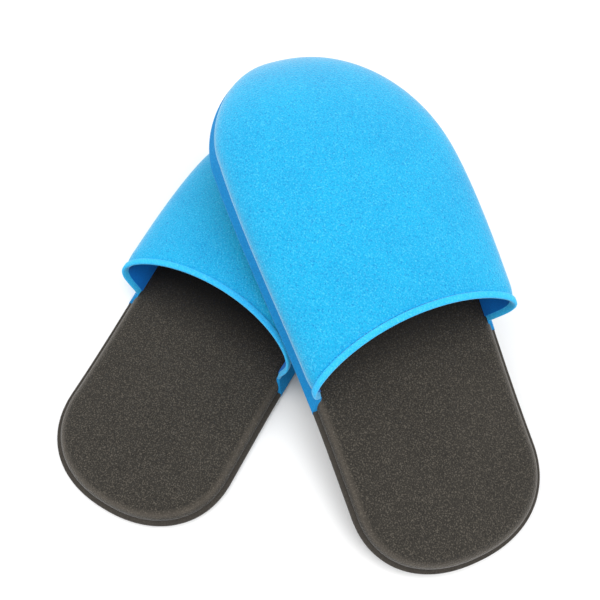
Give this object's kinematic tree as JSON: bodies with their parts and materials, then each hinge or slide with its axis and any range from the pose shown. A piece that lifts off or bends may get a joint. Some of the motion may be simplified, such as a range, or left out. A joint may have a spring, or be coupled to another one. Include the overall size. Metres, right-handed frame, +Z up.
{
  "type": "spa slippers",
  "caption": "Pair of closed-toe foam spa slippers with dark footbeds and blue uppers, the right one lying across the left one.",
  "frame": {"origin": "middle of the left slipper's length on the flat underside of its outsole", "axes": "+Z up, +Y from the left slipper's heel to its toe, +X towards the right slipper's heel"},
  "size_m": [0.2502, 0.28, 0.0955],
  "materials": {
    "outsole_foam": "matt close-cell foam sheet",
    "footbed_foam": "matt open-cell foam with pale specks",
    "band_foam": "matt foam",
    "upper_foam": "matt fine-grained foam",
    "lining_fabric": "smooth matt knit",
    "hem_foam": "matt pressed foam"
  },
  "bodies": {
    "left_slipper": {"left_outsole": "outsole_foam", "left_footbed": "footbed_foam", "left_side_band": "band_foam", "left_upper": "upper_foam", "left_lining": "lining_fabric", "left_throat_hem": "hem_foam"},
    "right_slipper": {"right_outsole": "outsole_foam", "right_footbed": "footbed_foam", "right_side_band": "band_foam", "right_upper": "upper_foam", "right_lining": "lining_fabric", "right_throat_hem": "hem_foam"}
  },
  "joints": [
    {"name": "lift", "type": "slide", "parent": "left_slipper", "child": "right_slipper", "axis": [0, 0, 1], "range_m": [0, 0.12]}
  ]
}
